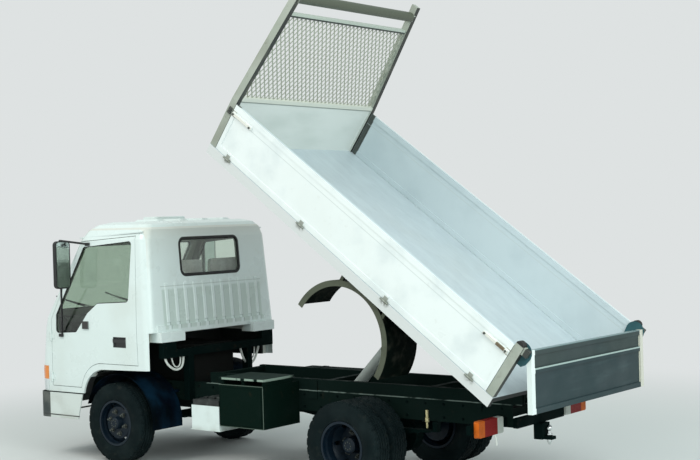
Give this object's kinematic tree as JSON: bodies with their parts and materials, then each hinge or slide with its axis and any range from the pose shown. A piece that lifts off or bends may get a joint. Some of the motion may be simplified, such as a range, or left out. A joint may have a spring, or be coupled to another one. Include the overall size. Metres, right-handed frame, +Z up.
{
  "type": "dump truck",
  "caption": "Light cab-over dump truck with a drop-side tipping bed raised on its hoist, a mesh headboard, a hanging tailgate and a single cab.",
  "frame": {"origin": "on the ground under the middle of the vehicle's overall box", "axes": "+X forward, +Y to the vehicle's left, +Z up"},
  "size_m": [5.6634, 2.2, 4.224],
  "materials": {
    "exhaust_steel": "dull",
    "chassis_black": "satin",
    "engine_grey": "rough",
    "box_green": "satin",
    "battery_white": "satin",
    "lamp_red": "gloss",
    "bumper_grey": "satin",
    "black_rubber": "matte",
    "cab_white": "gloss",
    "glass": "clear",
    "seat_fabric": "woven",
    "dash_plastic": "grained",
    "lamp_clear": "gloss",
    "trim_plastic": "satin",
    "tyre": "matte",
    "wheel_steel": "satin",
    "bed_aluminium": "satin",
    "post_grey": "satin",
    "guard_grey": "satin",
    "mesh_steel": "satin",
    "side_white": "gloss",
    "gate_aluminium": "brushed",
    "hoist_grey": "satin",
    "hoist_chrome": "polished"
  },
  "bodies": {
    "chassis": {"chassis_frame": "chassis_black", "cab_pivots": "chassis_black", "cab_hoop": "chassis_black", "hoist_subframe": "chassis_black", "front_axle": "chassis_black", "rear_axle": "chassis_black", "leaf_springs": "chassis_black", "engine_block": "engine_grey", "propeller_shaft": "chassis_black", "exhaust": "exhaust_steel", "tool_box": "box_green", "battery_box": "battery_white", "fuel_tank": "chassis_black", "rear_bar": "chassis_black", "tail_lamps": "lamp_red", "front_bumper": "bumper_grey", "splash_guards": "black_rubber"},
    "cab": {"cab_shell": "cab_white", "windscreen": "glass", "rear_window": "glass", "seats": "seat_fabric", "dashboard": "dash_plastic", "steering_wheel": "dash_plastic", "head_lamps": "lamp_clear", "grille": "trim_plastic"},
    "door_left": {"door_left": "cab_white", "door_glass_left": "glass", "mirror_left": "trim_plastic"},
    "door_right": {"door_right": "cab_white", "door_glass_right": "glass", "mirror_right": "trim_plastic"},
    "knuckle_left": {"knuckle_left": "chassis_black"},
    "knuckle_right": {"knuckle_right": "chassis_black"},
    "wheel_front_left": {"tyre_front_left": "tyre", "rim_front_left": "wheel_steel"},
    "wheel_front_right": {"tyre_front_right": "tyre", "rim_front_right": "wheel_steel"},
    "wheels_rear_left": {"tyres_rear_left": "tyre", "rims_rear_left": "wheel_steel"},
    "wheels_rear_right": {"tyres_rear_right": "tyre", "rims_rear_right": "wheel_steel"},
    "bed": {"bed_floor": "bed_aluminium", "rear_posts": "post_grey", "mudguards": "guard_grey", "headboard": "post_grey", "headboard_mesh": "mesh_steel"},
    "drop_side_left": {"drop_side_left": "side_white"},
    "drop_side_right": {"drop_side_right": "side_white"},
    "tailgate": {"tailgate": "gate_aluminium"},
    "hoist_barrel": {"hoist_barrel": "hoist_grey"},
    "hoist_stage": {"hoist_stage": "hoist_grey"},
    "hoist_rod": {"hoist_rod": "hoist_chrome"}
  },
  "joints": [
    {"name": "cab_tilt", "type": "hinge", "parent": "chassis", "child": "cab", "pos_m": [2.73365, 0, 0.69], "axis": [0, 1, 0], "range_deg": [0, 45]},
    {"name": "door_left_swing", "type": "hinge", "parent": "cab", "child": "door_left", "pos_m": [2.60615, 0.889, 0.98], "axis": [0, 0, -1], "range_deg": [0, 68]},
    {"name": "door_right_swing", "type": "hinge", "parent": "cab", "child": "door_right", "pos_m": [2.60615, -0.889, 0.98], "axis": [0, 0, 1], "range_deg": [0, 68]},
    {"name": "steer_left", "type": "hinge", "parent": "chassis", "child": "knuckle_left", "pos_m": [1.76365, 0.632, 0.377], "axis": [0, 0, 1], "range_deg": [-35, 35]},
    {"name": "steer_right", "type": "hinge", "parent": "chassis", "child": "knuckle_right", "pos_m": [1.76365, -0.632, 0.377], "axis": [0, 0, 1], "range_deg": [-35, 35]},
    {"name": "wheel_front_left_spin", "type": "hinge", "parent": "knuckle_left", "child": "wheel_front_left", "pos_m": [1.76365, 0.766, 0.377], "axis": [0, 1, 0], "continuous": true},
    {"name": "wheel_front_right_spin", "type": "hinge", "parent": "knuckle_right", "child": "wheel_front_right", "pos_m": [1.76365, -0.766, 0.377], "axis": [0, 1, 0], "continuous": true},
    {"name": "wheels_rear_left_spin", "type": "hinge", "parent": "chassis", "child": "wheels_rear_left", "pos_m": [-0.98635, 0.684, 0.377], "axis": [0, 1, 0], "continuous": true},
    {"name": "wheels_rear_right_spin", "type": "hinge", "parent": "chassis", "child": "wheels_rear_right", "pos_m": [-0.98635, -0.684, 0.377], "axis": [0, 1, 0], "continuous": true},
    {"name": "bed_tip", "type": "hinge", "parent": "chassis", "child": "bed", "pos_m": [-2.36435, 0, 0.887], "axis": [0, -1, 0], "range_deg": [-36.1, 0]},
    {"name": "drop_side_left_fold", "type": "hinge", "parent": "bed", "child": "drop_side_left", "pos_m": [-2.50962, 0.986, 0.88255], "axis": [-0.808, 0, -0.5892], "range_deg": [0, 175]},
    {"name": "drop_side_right_fold", "type": "hinge", "parent": "bed", "child": "drop_side_right", "pos_m": [-2.50962, -0.986, 0.88255], "axis": [0.808, 0, 0.5892], "range_deg": [0, 175]},
    {"name": "tailgate_swing", "type": "hinge", "parent": "bed", "child": "tailgate", "pos_m": [-2.79782, 0, 1.22686], "axis": [0, 1, 0], "range_deg": [-36.1, 60]},
    {"name": "hoist_barrel_swing", "type": "hinge", "parent": "chassis", "child": "hoist_barrel", "pos_m": [-0.42635, 0, 0.694], "axis": [0, -1, 0], "range_deg": [0, 28.9]},
    {"name": "hoist_stage_slide", "type": "slide", "parent": "hoist_barrel", "child": "hoist_stage", "axis": [-0.7028, 0, 0.7114], "range_m": [-0.3296, 0]},
    {"name": "hoist_rod_slide", "type": "slide", "parent": "hoist_stage", "child": "hoist_rod", "axis": [-0.7028, 0, 0.7114], "range_m": [-0.3296, 0]}
  ],
  "couplings": [
    {"joint": "steer_right", "follows": "steer_left", "ratio": 1},
    {"joint": "hoist_barrel_swing", "follows": "bed_tip", "ratio": -0.8},
    {"joint": "hoist_stage_slide", "follows": "bed_tip", "m_per_rad": 0.52282},
    {"joint": "hoist_rod_slide", "follows": "bed_tip", "m_per_rad": 0.52282}
  ]
}
